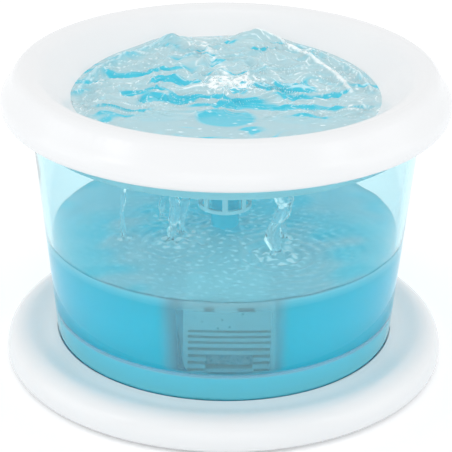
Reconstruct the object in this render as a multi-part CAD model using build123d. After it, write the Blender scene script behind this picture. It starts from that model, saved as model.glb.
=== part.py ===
from build123d import *
import math
import os

# Round pet water fountain. Millimetres, +Z up, origin on the table under the centre, -Y is the front.
# Turned pieces are drawn as half profiles in the XZ plane: first value radius, second value height.

# --- base -------------------------------------------------------------------------------------
PAD_RADIUS = 7.0
PAD_HEIGHT = 3.0
PAD_RECESS = 1.4
PAD_CHAMFER = 0.7
PAD_COUNT = 4
PAD_CIRCLE = 76.0

BASE_REACH = 26.9                           # how far the saucer stands out beyond the tank's foot
BASE_WALL = 2.6
BASE_EDGE_RISE = 3.4                        # lowest edge to the widest point
BASE_CREST_INSET = 12.0
BASE_CREST_RISE = 15.4                      # lowest edge to the crest
BASE_DIP_MARGIN = 4.9                       # level strip between the tank's foot and the crest's slope
BASE_DIP_DEPTH = 1.4                        # crest to that strip
WELL_DEPTH = 5.6                            # strip to the platform that the tank stands on
RIB_COUNT = 8
RIB_THICKNESS = 1.8

# --- tank -------------------------------------------------------------------------------------
TANK_WALL = 3.0
TANK_FOOT_RADIUS = 89.1                     # outside, level with the base's strip
TANK_RIM_RADIUS = 100.6
TANK_RISE = 123.4                           # base's strip to the rim
TANK_FLOOR = 3.0
TANK_OUTER_CORNER = 5.0
TANK_INNER_CORNER = 13.0
FOOT_RIM_INSET = 11.0
FOOT_RIM_WIDTH = 3.0
FOOT_RIM_DEPTH = 3.0
LEDGE_DROP = 5.0                            # rim to the ledge that carries the dish
LEDGE_WIDTH = 3.4
LEDGE_THICKNESS = 2.4
CORD_NOTCH_WIDTH = 9.0

# --- top ring: insets from its widest circle, rises and drops from the tank's rim ----------------
RING_OVERHANG = 14.4                        # tank's rim to the ring's widest circle
RING_WIDEST_RISE = 4.0
RING_LIP_INSET = 5.0
RING_LIP_DROP = 1.4
RING_SHOULDER_INSET = 4.8
RING_SHOULDER_RISE = 14.2
RING_CREST_INSET = 12.0
RING_RISE = 20.7
RING_ROLL_INSET = 24.5                      # where the roll turns into the funnel's wall
RING_ROLL_RISE = 14.5
RING_WALL = 2.4
COLLAR_WALL = 2.0
FUNNEL_STEP = 1.0                           # funnel's foot outside the dish's inner wall
FUNNEL_RISE = 5.0                           # height of the funnel's upright foot over the dish's flange

# --- drinking dish ----------------------------------------------------------------------------
DISH_WALL = 2.5
DISH_RADIUS = 78.0
DISH_DEPTH = 15.5                           # tank's ledge down to the dish's floor
DISH_CORNER = 12.0
FLANGE_THICKNESS = 2.2
HOLE_RADIUS = 2.4
HOLE_PITCH = 8.6
HOLE_RINGS = 4
HOLE_MARGIN = 11.0                          # sleeve to the first circle of drains
HOLE_RING_STEP = 8.8

CAP_RADIUS = 14.4
CAP_HEIGHT = 12.0
CAP_WALL = 2.0
CAP_MOUTH_RADIUS = 5.0
CAP_SLOT_COUNT = 6
CAP_SLOT_WIDTH = 2.4
CAP_SLOT_BAR = 1.0                          # plastic left between the mouth and a slot
SOCKET_WALL = 1.9
SOCKET_HEIGHT = 5.5

SLEEVE_RADIUS = 14.0
SLEEVE_WALL = 1.6
SLEEVE_LENGTH = 33.0
WINDOW_COUNT = 8
WINDOW_WIDTH = 8.0
WINDOW_HEIGHT = 6.8
WINDOW_SILL = 2.0

# --- riser and pump ---------------------------------------------------------------------------
RISER_RADIUS = 7.4
RISER_WALL = 1.8
RISER_ABOVE_FLOOR = 7.0
SPIGOT_WALL = 1.4
SPIGOT_HEIGHT = 11.0
SEAL_THICKNESS = 1.2

CUP_HEIGHT = 2.6
CUP_RADIUS = 6.5
CUP_NECK_RADIUS = 2.2
CUP_NECK_HEIGHT = 1.4
CUP_INSET = 8.5

PUMP_WIDTH = 40.0
PUMP_HEIGHT = 39.0
PUMP_LENGTH = 44.0
PUMP_FRONT = -8.0
PUMP_OFFSET = 2.5                           # the unit stands this far to the right of the riser
PUMP_WALL = 2.2
PUMP_TOP_CORNER = 4.0
PUMP_FOOT_CORNER = 6.0

BOX_DEPTH = 34.0
BOX_WALL = 1.8
FOAM_DEPTH = 11.0
FILTER_GAP = 0.9                            # the filter pads lie loose in the box
FILTER_EASE = 4.0                           # and their corners are this much rounder than its corners
GRILLE_THICKNESS = 4.0
TONGUE_DEPTH = 3.0
TONGUE_WALL = 1.2
TONGUE_LENGTH = 14.0
LOUVRE_COUNT = 7
LOUVRE_PITCH = 3.2
LOUVRE_GAP = 1.5
LOUVRE_SIDE = 2.0
LOUVRE_START = 1.6                          # grille's lower edge to the lowest slot
CUTOUT_WIDTH = 20.2
CUTOUT_HEIGHT = 8.5

SLIDER_WIDTH = 10.0
SLIDER_HEIGHT = 4.4
SLIDER_PROUD = 1.6
SLIDER_TRAVEL = 6.0                         # each way from the middle of its slot
SLIDER_REST = -1.7                          # where it stands, from the middle of its slot
SLIDER_DROP = 5.0                           # top of the grille to the slot's centre line
SLOT_HEIGHT = 2.4
SHUTTER_THICKNESS = 1.2
SHUTTER_DROP = 4.2                          # slot's centre line to the shutter's lower edge

VOLUTE_RADIUS = 14.0
VOLUTE_DEPTH = 11.0
COVER_THICKNESS = 2.0
COVER_SEAT = 1.5                            # how wide the step is that the cover sits on
MOUTH_RADIUS = 6.0
SPOKE_COUNT = 3
SPOKE_WIDTH = 1.6
SHAFT_RADIUS = 1.5
BUSH_RADIUS = 3.2
BUSH_DEPTH = 3.0
ROTOR_RADIUS = 7.4
ROTOR_LENGTH = 20.0
WELL_CLEARANCE = 0.6
WELL_WALL = 1.2
BLADE_COUNT = 6
BLADE_LENGTH = 7.0
BLADE_THICKNESS = 1.2
BLADE_SWEEP = 40.0                          # degrees round the axis from a blade's root to its tip
IMPELLER_RADIUS = 11.5
HUB_RADIUS = 3.6
DISC_THICKNESS = 1.4
STATOR_LENGTH = 16.0
STATOR_LIMB = 4.4
COIL_THICKNESS = 2.0
GLAND_RADIUS = 4.0
GLAND_BORE = 2.4
GLAND_LENGTH = 7.0
GLAND_SEAT = 3.0
GLAND_INSET = 8.0                           # pump's inner walls to the gland's axis

# --- clearances -------------------------------------------------------------------------------
FIT_GAP = 0.3                               # pieces that lift apart
SEAT_GAP = 0.1
SLIDE_GAP = 0.08                            # dish's socket round the riser
RUN_GAP = 0.06                              # impeller and magnet round the shaft

# --- places worked out from the sizes above ---------------------------------------------------
BASE_LOW = PAD_HEIGHT - PAD_RECESS          # the base's lowest edge hangs this far over the table
BASE_RADIUS = TANK_FOOT_RADIUS + BASE_REACH
BASE_CREST_RADIUS = BASE_RADIUS - BASE_CREST_INSET
BASE_CREST_HEIGHT = BASE_LOW + BASE_CREST_RISE
BASE_DIP_RADIUS = TANK_FOOT_RADIUS + BASE_DIP_MARGIN
BASE_DIP_HEIGHT = BASE_CREST_HEIGHT - BASE_DIP_DEPTH
PLATFORM_HEIGHT = BASE_DIP_HEIGHT - WELL_DEPTH

TANK_UNDERSIDE = PLATFORM_HEIGHT + FOOT_RIM_DEPTH
TANK_FLOOR_TOP = TANK_UNDERSIDE + TANK_FLOOR
TANK_RIM_HEIGHT = BASE_DIP_HEIGHT + TANK_RISE
TANK_SLOPE = (TANK_RIM_RADIUS - TANK_FOOT_RADIUS) / TANK_RISE
LEDGE_HEIGHT = TANK_RIM_HEIGHT - LEDGE_DROP

DISH_FLOOR_HEIGHT = LEDGE_HEIGHT - DISH_DEPTH
DISH_UNDERSIDE = DISH_FLOOR_HEIGHT - DISH_WALL
FLANGE_TOP = LEDGE_HEIGHT + FLANGE_THICKNESS
HOLE_FIRST_RING = SLEEVE_RADIUS + HOLE_MARGIN
SLEEVE_BOTTOM = DISH_UNDERSIDE - SLEEVE_LENGTH
SOCKET_BORE = RISER_RADIUS + SLIDE_GAP
SOCKET_RADIUS = SOCKET_BORE + SOCKET_WALL

RING_RADIUS = TANK_RIM_RADIUS + RING_OVERHANG
FUNNEL_RADIUS = DISH_RADIUS - DISH_WALL + FUNNEL_STEP

PUMP_BOTTOM = TANK_FLOOR_TOP + CUP_HEIGHT
PUMP_TOP = PUMP_BOTTOM + PUMP_HEIGHT
PUMP_REAR = PUMP_FRONT + PUMP_LENGTH
BOX_FRONT = PUMP_FRONT - BOX_DEPTH
GRILLE_FRONT = BOX_FRONT - GRILLE_THICKNESS
FOAM_FRONT = BOX_FRONT + TONGUE_DEPTH + FIT_GAP
CARBON_FRONT = FOAM_FRONT + FOAM_DEPTH + FIT_GAP
CARBON_REAR = PUMP_FRONT - BOX_WALL - FIT_GAP
SLOT_MIDDLE = PUMP_TOP - SLIDER_DROP

COVER_FACE = PUMP_FRONT + COVER_THICKNESS
VOLUTE_BACK = COVER_FACE + VOLUTE_DEPTH
WELL_RADIUS = ROTOR_RADIUS + WELL_CLEARANCE
ROTOR_START = VOLUTE_BACK - WELL_CLEARANCE
ROTOR_END = ROTOR_START + ROTOR_LENGTH
BUSH_SEAT = ROTOR_END + WELL_CLEARANCE
WELL_END = BUSH_SEAT + BUSH_DEPTH
DISC_FRONT = ROTOR_START - DISC_THICKNESS
BLADE_FRONT = DISC_FRONT - BLADE_LENGTH
POCKET_FRONT = VOLUTE_BACK + PUMP_WALL
STATOR_FRONT = POCKET_FRONT + COIL_THICKNESS + FIT_GAP
YOKE_BOTTOM = PUMP_BOTTOM + PUMP_WALL + COIL_THICKNESS + FIT_GAP
AXIS_X = PUMP_OFFSET                        # the rotor's axis runs along Y through this X and Z
AXIS_Z = PUMP_TOP - PUMP_WALL - VOLUTE_RADIUS - COVER_SEAT
GLAND_X = PUMP_OFFSET + PUMP_WIDTH / 2 - PUMP_WALL - GLAND_INSET
GLAND_Z = PUMP_TOP - PUMP_WALL - GLAND_INSET

RISER_BORE = RISER_RADIUS - RISER_WALL
SPIGOT_RADIUS = RISER_BORE - SEAT_GAP
RISER_BOTTOM = PUMP_TOP + SEAL_THICKNESS
RISER_TOP = DISH_FLOOR_HEIGHT + RISER_ABOVE_FLOOR


def tank_outer(height):
    """Outside radius of the tank's sloping wall at a height."""
    return TANK_FOOT_RADIUS + TANK_SLOPE * (height - BASE_DIP_HEIGHT)


def tank_inner(height):
    return tank_outer(height) - TANK_WALL


def turned(profile_edges):
    """Closed half profile turned about the Z axis."""
    return revolve(make_face(profile_edges), Axis.Z)


def point(radius, height):
    return (radius, 0, height)


def chain(points):
    """Straight lines through the points."""
    return [Line(point(*a), point(*b)) for a, b in zip(points, points[1:])]


def behind(place, along, wall):
    """Point one wall to the left of a place on a profile that runs in the given direction."""
    length = math.hypot(*along)
    return (place[0] - wall * along[1] / length, place[1] + wall * along[0] / length)


def rounded(section, radius, height, size):
    """Half profile with the corner nearest to a place rounded."""
    return fillet(section.vertices().sort_by_distance(point(radius, height))[0], size)


def tube(outer, inner, low, high, x=0.0, y=0.0):
    """Upright tube or, with no inner radius, an upright rod."""
    body = Pos(x, y, (low + high) / 2) * Cylinder(outer, high - low)
    if inner:
        body -= Pos(x, y, (low + high) / 2) * Cylinder(inner, high - low)
    return body


def lying(outer, front, rear, inner=0.0):
    """Rod or tube along Y on the rotor's axis."""
    place = Pos(AXIS_X, (front + rear) / 2, AXIS_Z) * Rot(90, 0, 0)
    body = place * Cylinder(outer, rear - front)
    if inner:
        body -= place * Cylinder(inner, rear - front)
    return body


def block(width, depth, height, x, front, bottom):
    """Box by its middle in X, its front face and its bottom."""
    return Pos(x, front + depth / 2, bottom + height / 2) * Box(width, depth, height)


def pump_section(inset, front, rear, ease=0.0):
    """Block with the pump unit's rounded outline, set in all round, between two places along Y.
    Its corners are rounder than that by the ease."""
    body = block(PUMP_WIDTH - 2 * inset, rear - front, PUMP_HEIGHT - 2 * inset, PUMP_OFFSET, front,
                 PUMP_BOTTOM + inset)
    body = fillet(body.edges().filter_by(Axis.Y).sort_by(Axis.Z)[:2], PUMP_FOOT_CORNER - inset + ease)
    return fillet(body.edges().filter_by(Axis.Y).sort_by(Axis.Z)[-2:], PUMP_TOP_CORNER - inset + ease)


def pad_places():
    return [(place.position.X, place.position.Y)
            for place in PolarLocations(PAD_CIRCLE, PAD_COUNT, start_angle=180 / PAD_COUNT)]


def cup_places():
    side = PUMP_WIDTH / 2 - CUP_INSET
    ends = (BOX_FRONT + CUP_INSET, PUMP_REAR - CUP_INSET)
    return [(PUMP_OFFSET + x, y) for x in (-side, side) for y in ends]


def make_base_ring():
    """Hollow saucer: a well for the tank's foot inside a rolled rim, with ribs under the rim."""
    widest = BASE_LOW + BASE_EDGE_RISE
    well = tank_outer(BASE_DIP_HEIGHT) + FIT_GAP
    top = [
        Line(point(0, PLATFORM_HEIGHT), point(well, PLATFORM_HEIGHT)),
        Line(point(well, PLATFORM_HEIGHT), point(well, BASE_DIP_HEIGHT)),
        Line(point(well, BASE_DIP_HEIGHT), point(BASE_DIP_RADIUS, BASE_DIP_HEIGHT)),
        Spline(point(BASE_DIP_RADIUS, BASE_DIP_HEIGHT), point(BASE_CREST_RADIUS, BASE_CREST_HEIGHT),
               point(BASE_RADIUS, widest), tangents=[(1, 0, 0), (0, 0, -1)]),
        Spline(point(BASE_RADIUS, widest), point(BASE_RADIUS - BASE_WALL, BASE_LOW),
               tangents=[(0, 0, -1), (-1, 0, 0)]),
    ]
    under = PLATFORM_HEIGHT - BASE_WALL
    strip_under = BASE_DIP_HEIGHT - BASE_WALL
    well_outside = well + BASE_WALL
    lip_inside = BASE_RADIUS - 2 * BASE_WALL
    ceiling = [
        Spline(point(lip_inside, BASE_LOW), point(BASE_CREST_RADIUS, BASE_CREST_HEIGHT - BASE_WALL),
               point(well_outside, strip_under), tangents=[(0, 0, 1), (-1, 0, 0)]),
        Line(point(well_outside, strip_under), point(well_outside, under)),
        Line(point(well_outside, under), point(0, under)),
    ]
    edge = Line(point(BASE_RADIUS - BASE_WALL, BASE_LOW), point(lip_inside, BASE_LOW))
    base = turned(top + [edge] + ceiling + [Line(point(0, under), point(0, PLATFORM_HEIGHT))])
    hollow = turned(ceiling + chain([(0, under), (0, BASE_LOW), (lip_inside, BASE_LOW)]))
    rib_start = PAD_CIRCLE - PAD_RADIUS
    slab = block(BASE_RADIUS - rib_start, RIB_THICKNESS, BASE_CREST_HEIGHT, (BASE_RADIUS + rib_start) / 2,
                 -RIB_THICKNESS / 2, 0)
    for index in range(RIB_COUNT):
        base += hollow & (Rot(0, 0, (index + 0.5) * 360 / RIB_COUNT) * slab)
    for x, y in pad_places():
        base += tube(PAD_RADIUS + BASE_WALL, 0, BASE_LOW, under, x, y)
        base -= tube(PAD_RADIUS + SEAT_GAP, 0, BASE_LOW, BASE_LOW + PAD_RECESS, x, y)
    return base


def make_foot_pads():
    pads = [tube(PAD_RADIUS, 0, 0, PAD_HEIGHT, x, y) for x, y in pad_places()]
    return [chamfer(pad.edges().group_by(Axis.Z)[0], PAD_CHAMFER) for pad in pads]


def make_tank():
    """Tapered beaker with a ledge inside its rim, a rim under its floor and a notch for the cord."""
    ledge_lip = tank_inner(LEDGE_HEIGHT) - LEDGE_WIDTH
    underledge = LEDGE_HEIGHT - LEDGE_THICKNESS
    ledge_foot = underledge - LEDGE_WIDTH
    section = make_face(chain([
        (0, TANK_UNDERSIDE), (tank_outer(TANK_UNDERSIDE), TANK_UNDERSIDE),
        (TANK_RIM_RADIUS, TANK_RIM_HEIGHT), (tank_inner(TANK_RIM_HEIGHT), TANK_RIM_HEIGHT),
        (tank_inner(LEDGE_HEIGHT), LEDGE_HEIGHT), (ledge_lip, LEDGE_HEIGHT), (ledge_lip, underledge),
        (tank_inner(ledge_foot), ledge_foot), (tank_inner(TANK_FLOOR_TOP), TANK_FLOOR_TOP),
        (0, TANK_FLOOR_TOP), (0, TANK_UNDERSIDE)]))
    section = rounded(section, tank_outer(TANK_UNDERSIDE), TANK_UNDERSIDE, TANK_OUTER_CORNER)
    section = rounded(section, tank_inner(TANK_FLOOR_TOP), TANK_FLOOR_TOP, TANK_INNER_CORNER)
    tank = revolve(section, Axis.Z)
    foot_rim = TANK_FOOT_RADIUS - FOOT_RIM_INSET
    tank += tube(foot_rim, foot_rim - FOOT_RIM_WIDTH, PLATFORM_HEIGHT, TANK_UNDERSIDE)
    return tank - block(CORD_NOTCH_WIDTH, 2 * (TANK_WALL + LEDGE_WIDTH), TANK_RIM_HEIGHT - ledge_foot, 0,
                        ledge_lip - TANK_WALL, ledge_foot)


def make_top_ring():
    """Shell rolled over the tank's rim, running inwards as a funnel to the dish, with a collar under it."""
    lip = (RING_RADIUS - RING_LIP_INSET, TANK_RIM_HEIGHT - RING_LIP_DROP)
    widest = (RING_RADIUS, TANK_RIM_HEIGHT + RING_WIDEST_RISE)
    shoulder = (RING_RADIUS - RING_SHOULDER_INSET, TANK_RIM_HEIGHT + RING_SHOULDER_RISE)
    crest = (RING_RADIUS - RING_CREST_INSET, TANK_RIM_HEIGHT + RING_RISE)
    roll = (RING_RADIUS - RING_ROLL_INSET, TANK_RIM_HEIGHT + RING_ROLL_RISE)
    funnel = (FUNNEL_RADIUS, FLANGE_TOP + FUNNEL_RISE)
    funnel_foot = (FUNNEL_RADIUS, FLANGE_TOP + FIT_GAP)
    fall = (funnel[0] - roll[0], funnel[1] - roll[1])
    outside = [
        Spline(point(*lip), point(*widest), tangents=[(1, 0, 0), (0, 0, 1)]),
        Spline(point(*widest), point(*shoulder), point(*crest), tangents=[(0, 0, 1), (-1, 0, 0)]),
        Spline(point(*crest), point(*roll), tangents=[(-1, 0, 0), point(*fall)]),
    ]
    hidden_roll = behind(roll, fall, RING_WALL)
    hidden_foot = FUNNEL_RADIUS + RING_WALL
    hidden_funnel = (hidden_foot, hidden_roll[1] + fall[1] / fall[0] * (hidden_foot - hidden_roll[0]))
    hidden_crest = (crest[0], crest[1] - RING_WALL)
    hidden_shoulder = behind(shoulder, (crest[0] - widest[0], crest[1] - widest[1]), RING_WALL)
    hidden_widest = (widest[0] - RING_WALL, widest[1])
    inside = [
        Spline(point(*hidden_roll), point(*hidden_crest), tangents=[point(-fall[0], -fall[1]), (1, 0, 0)]),
        Spline(point(*hidden_crest), point(*hidden_shoulder), point(*hidden_widest),
               tangents=[(1, 0, 0), (0, 0, -1)]),
    ]
    foot = chain([roll, funnel, funnel_foot, (hidden_foot, funnel_foot[1]), hidden_funnel, hidden_roll])
    ring = turned(outside + foot + inside + chain([hidden_widest, (lip[0], lip[1] + RING_WALL), lip]))
    # Collar under the crown: it centres the ring on the tank's rim and carries its weight.
    collar_inner = TANK_RIM_RADIUS + FIT_GAP
    collar_outer = collar_inner + COLLAR_WALL
    seat = TANK_RIM_HEIGHT + SEAT_GAP
    ring += tube(collar_outer, collar_inner, lip[1], crest[1] - RING_WALL / 2)
    return ring + tube(collar_outer, tank_inner(TANK_RIM_HEIGHT), seat, seat + COLLAR_WALL)


def make_dish():
    """Flat-floored dish hung by its flange, with circles of drains and a socket for the riser."""
    flange_outer = tank_inner(LEDGE_HEIGHT) - FIT_GAP
    dish_inner = DISH_RADIUS - DISH_WALL
    section = make_face(chain([
        (0, DISH_UNDERSIDE), (DISH_RADIUS, DISH_UNDERSIDE), (DISH_RADIUS, LEDGE_HEIGHT),
        (flange_outer, LEDGE_HEIGHT), (flange_outer, FLANGE_TOP), (dish_inner, FLANGE_TOP),
        (dish_inner, DISH_FLOOR_HEIGHT), (0, DISH_FLOOR_HEIGHT), (0, DISH_UNDERSIDE)]))
    section = rounded(section, DISH_RADIUS, DISH_UNDERSIDE, DISH_CORNER)
    section = rounded(section, dish_inner, DISH_FLOOR_HEIGHT, DISH_CORNER - DISH_WALL)
    dish = revolve(section, Axis.Z)
    dish += tube(SOCKET_RADIUS, 0, DISH_UNDERSIDE, DISH_FLOOR_HEIGHT + SOCKET_HEIGHT)
    dish -= tube(SOCKET_BORE, 0, DISH_UNDERSIDE, DISH_FLOOR_HEIGHT + SOCKET_HEIGHT)
    drains = []
    for ring in range(HOLE_RINGS):
        radius = HOLE_FIRST_RING + ring * HOLE_RING_STEP
        count = int(2 * math.pi * radius / HOLE_PITCH)
        for place in PolarLocations(radius, count, start_angle=ring * 180 / count):
            drains.append(tube(HOLE_RADIUS, 0, DISH_UNDERSIDE, DISH_FLOOR_HEIGHT,
                               place.position.X, place.position.Y))
    dish -= drains
    return dish - block(CORD_NOTCH_WIDTH, TANK_RIM_RADIUS - DISH_RADIUS, FLANGE_THICKNESS, 0,
                        DISH_RADIUS + DISH_WALL, LEDGE_HEIGHT)


def make_nozzle_cap():
    """Low cap over the riser's mouth: the water leaves by a hole and slots in its top."""
    low = DISH_FLOOR_HEIGHT + SEAT_GAP
    high = low + CAP_HEIGHT
    skirt = SOCKET_RADIUS + FIT_GAP
    cap = tube(CAP_RADIUS, 0, low, high)
    cap = fillet(cap.edges().group_by(Axis.Z)[-1], CAP_WALL)
    cap -= tube(CAP_RADIUS - CAP_WALL, 0, low, high - CAP_WALL)
    cap -= tube(CAP_MOUTH_RADIUS, 0, high - CAP_WALL, high)
    cap += tube(skirt + CAP_WALL, skirt, low + CAP_WALL, high - CAP_WALL)
    slot_start = CAP_MOUTH_RADIUS + CAP_SLOT_BAR
    slot = block(skirt - slot_start, CAP_SLOT_WIDTH, CAP_WALL, (skirt + slot_start) / 2,
                 -CAP_SLOT_WIDTH / 2, high - CAP_WALL)
    for index in range(CAP_SLOT_COUNT):
        cap -= Rot(0, 0, index * 360 / CAP_SLOT_COUNT) * slot
    return cap


def make_dish_sleeve():
    """Splash guard round the riser, with a row of windows at its foot."""
    sleeve = tube(SLEEVE_RADIUS, SLEEVE_RADIUS - SLEEVE_WALL, SLEEVE_BOTTOM, DISH_UNDERSIDE)
    window = block(SLEEVE_RADIUS, WINDOW_WIDTH, WINDOW_HEIGHT, SLEEVE_RADIUS, -WINDOW_WIDTH / 2,
                   SLEEVE_BOTTOM + WINDOW_SILL)
    for index in range(WINDOW_COUNT):
        sleeve -= Rot(0, 0, (index + 0.5) * 360 / WINDOW_COUNT) * window
    return sleeve


def make_riser_tube():
    return tube(RISER_RADIUS, RISER_BORE, RISER_BOTTOM, RISER_TOP)


def make_outlet_seal():
    return tube(RISER_RADIUS, SPIGOT_RADIUS + SEAT_GAP, PUMP_TOP, RISER_BOTTOM)


def make_suction_cups():
    cups = []
    for x, y in cup_places():
        bell = Pos(x, y, TANK_FLOOR_TOP + CUP_HEIGHT / 2) * Cone(CUP_RADIUS, CUP_NECK_RADIUS, CUP_HEIGHT)
        cups.append(bell + tube(CUP_NECK_RADIUS, 0, PUMP_BOTTOM, PUMP_BOTTOM + CUP_NECK_HEIGHT, x, y))
    return cups


def cup_holes():
    """Rods for the blind holes that the necks of the suction cups sit in."""
    neck_top = PUMP_BOTTOM + CUP_NECK_HEIGHT
    return [tube(CUP_NECK_RADIUS, 0, PUMP_BOTTOM, neck_top, x, y) for x, y in cup_places()]


def make_stator_core():
    """Two pole limbs beside the rotor's well, joined by a yoke under it."""
    inner = WELL_RADIUS + WELL_WALL + FIT_GAP
    height = AXIS_Z + inner - YOKE_BOTTOM
    core = block(2 * (inner + STATOR_LIMB), STATOR_LENGTH, height, AXIS_X, STATOR_FRONT, YOKE_BOTTOM)
    return core - block(2 * inner, STATOR_LENGTH, height - STATOR_LIMB, AXIS_X, STATOR_FRONT,
                        YOKE_BOTTOM + STATOR_LIMB)


def make_coil(stator):
    """Winding round the yoke, between the limbs."""
    width = 2 * (WELL_RADIUS + WELL_WALL)
    return block(width, STATOR_LENGTH + 2 * COIL_THICKNESS, STATOR_LIMB + 2 * COIL_THICKNESS, AXIS_X,
                 STATOR_FRONT - COIL_THICKNESS, YOKE_BOTTOM - COIL_THICKNESS) - stator


def motor_pocket():
    """Space for the motor, open at the rear, with the rotor's well standing in it."""
    pocket = pump_section(PUMP_WALL, POCKET_FRONT, PUMP_REAR)
    return pocket - lying(WELL_RADIUS + WELL_WALL, POCKET_FRONT, WELL_END + WELL_WALL)


def make_pump_body():
    """Housing with the volute in front, the rotor's well behind it and the outlet spigot on top."""
    body = pump_section(0, PUMP_FRONT, PUMP_REAR)
    body -= lying(VOLUTE_RADIUS + COVER_SEAT, PUMP_FRONT, COVER_FACE)
    body -= lying(VOLUTE_RADIUS, COVER_FACE, VOLUTE_BACK)
    body -= lying(WELL_RADIUS, VOLUTE_BACK, BUSH_SEAT)
    body -= lying(BUSH_RADIUS, BUSH_SEAT, WELL_END)
    body -= motor_pocket()
    body += tube(SPIGOT_RADIUS, 0, PUMP_TOP - PUMP_WALL, PUMP_TOP + SPIGOT_HEIGHT)
    body -= tube(SPIGOT_RADIUS - SPIGOT_WALL, 0, AXIS_Z, PUMP_TOP + SPIGOT_HEIGHT)
    return body - cup_holes()


def make_cable_gland():
    place = Pos(GLAND_X, PUMP_REAR + (GLAND_LENGTH - GLAND_SEAT) / 2, GLAND_Z) * Rot(90, 0, 0)
    return place * (Cylinder(GLAND_RADIUS, GLAND_LENGTH + GLAND_SEAT)
                    - Cylinder(GLAND_BORE, GLAND_LENGTH + GLAND_SEAT))


def make_potting(stator, coil):
    """Resin that fills the pocket round the motor and the gland's seat."""
    seat = Pos(GLAND_X, PUMP_REAR - GLAND_SEAT / 2, GLAND_Z) * Rot(90, 0, 0)
    return motor_pocket() - stator - coil - seat * Cylinder(GLAND_RADIUS, GLAND_SEAT)


def make_rear_bush():
    return lying(BUSH_RADIUS, BUSH_SEAT, WELL_END, SHAFT_RADIUS)


def make_front_bush():
    return lying(BUSH_RADIUS, PUMP_FRONT, COVER_FACE, SHAFT_RADIUS)


def make_impeller_cover():
    """Front plate of the volute: spokes across its mouth hold the front bush."""
    cover = lying(VOLUTE_RADIUS + COVER_SEAT, PUMP_FRONT, COVER_FACE, MOUTH_RADIUS)
    length = MOUTH_RADIUS + SPOKE_WIDTH
    spoke = Pos(length / 2, 0, 0) * Box(length, SPOKE_WIDTH, COVER_THICKNESS)
    place = Pos(AXIS_X, (PUMP_FRONT + COVER_FACE) / 2, AXIS_Z) * Rot(90, 0, 0)
    for index in range(SPOKE_COUNT):
        cover += place * Rot(0, 0, index * 360 / SPOKE_COUNT) * spoke
    return cover - lying(BUSH_RADIUS, PUMP_FRONT, COVER_FACE)


def make_shaft():
    return lying(SHAFT_RADIUS, PUMP_FRONT, WELL_END)


def make_impeller():
    """Swept blades, arcs from the hub to the rim, on a disc that the shaft runs through."""
    wheel = lying(IMPELLER_RADIUS, DISC_FRONT, ROTOR_START)
    wheel += lying(HUB_RADIUS, BLADE_FRONT, ROTOR_START)
    root = HUB_RADIUS - BLADE_THICKNESS
    tip = IMPELLER_RADIUS - BLADE_THICKNESS
    sweep_angle = math.radians(BLADE_SWEEP)
    middle = (root + tip) / 2
    bow = sweep_angle / 4                   # the camber's middle lies behind the straight line to the tip
    camber = ThreePointArc((root, 0), (middle * math.cos(bow), middle * math.sin(bow)),
                           (tip * math.cos(sweep_angle), tip * math.sin(sweep_angle)))
    blade = extrude(make_face(trace(camber, BLADE_THICKNESS).edges()), BLADE_LENGTH)
    place = Pos(AXIS_X, DISC_FRONT, AXIS_Z) * Rot(90, 0, 0)
    for index in range(BLADE_COUNT):
        wheel += place * Rot(0, 0, index * 360 / BLADE_COUNT) * blade
    return wheel - lying(SHAFT_RADIUS + RUN_GAP, BLADE_FRONT, ROTOR_START)


def make_rotor_magnet():
    return lying(ROTOR_RADIUS, ROTOR_START, ROTOR_END, SHAFT_RADIUS + RUN_GAP)


def make_filter_box():
    """Box open at the front for the pads, with a round way through its back into the pump."""
    box = pump_section(0, BOX_FRONT, PUMP_FRONT)
    box -= pump_section(BOX_WALL, BOX_FRONT, PUMP_FRONT - BOX_WALL)
    box -= lying(VOLUTE_RADIUS, PUMP_FRONT - BOX_WALL, PUMP_FRONT)
    return box - cup_holes()


def make_foam_pad():
    return pump_section(BOX_WALL + FILTER_GAP, FOAM_FRONT, FOAM_FRONT + FOAM_DEPTH, FILTER_EASE)


def make_carbon_pad():
    return pump_section(BOX_WALL + FILTER_GAP, CARBON_FRONT, CARBON_REAR, FILTER_EASE)


def make_intake_grille():
    """Ribbed plate with tongues at its top and sides that plug into the box, a cut-out below and the
    slider's slot above."""
    inset = BOX_WALL + FIT_GAP
    band = pump_section(inset, BOX_FRONT, BOX_FRONT + TONGUE_DEPTH)
    band -= pump_section(inset + TONGUE_WALL, BOX_FRONT, BOX_FRONT + TONGUE_DEPTH)
    middle = (PUMP_BOTTOM + PUMP_TOP) / 2
    above = block(TONGUE_LENGTH, TONGUE_DEPTH, PUMP_HEIGHT / 2, PUMP_OFFSET, BOX_FRONT, middle)
    beside = block(PUMP_WIDTH, TONGUE_DEPTH, TONGUE_LENGTH, PUMP_OFFSET, BOX_FRONT, middle)
    grille = pump_section(0, GRILLE_FRONT, BOX_FRONT) + (band & above) + (band & beside)
    louvre_width = PUMP_WIDTH - 2 * LOUVRE_SIDE
    for index in range(LOUVRE_COUNT):
        grille -= block(louvre_width, GRILLE_THICKNESS, LOUVRE_GAP, PUMP_OFFSET, GRILLE_FRONT,
                        PUMP_BOTTOM + LOUVRE_START + LOUVRE_PITCH * index)
    grille -= block(CUTOUT_WIDTH, GRILLE_THICKNESS, CUTOUT_HEIGHT, PUMP_OFFSET, GRILLE_FRONT, PUMP_BOTTOM)
    return grille - block(SLIDER_WIDTH + 2 * SLIDER_TRAVEL, GRILLE_THICKNESS, SLOT_HEIGHT, PUMP_OFFSET,
                          GRILLE_FRONT, SLOT_MIDDLE - SLOT_HEIGHT / 2)


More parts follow.
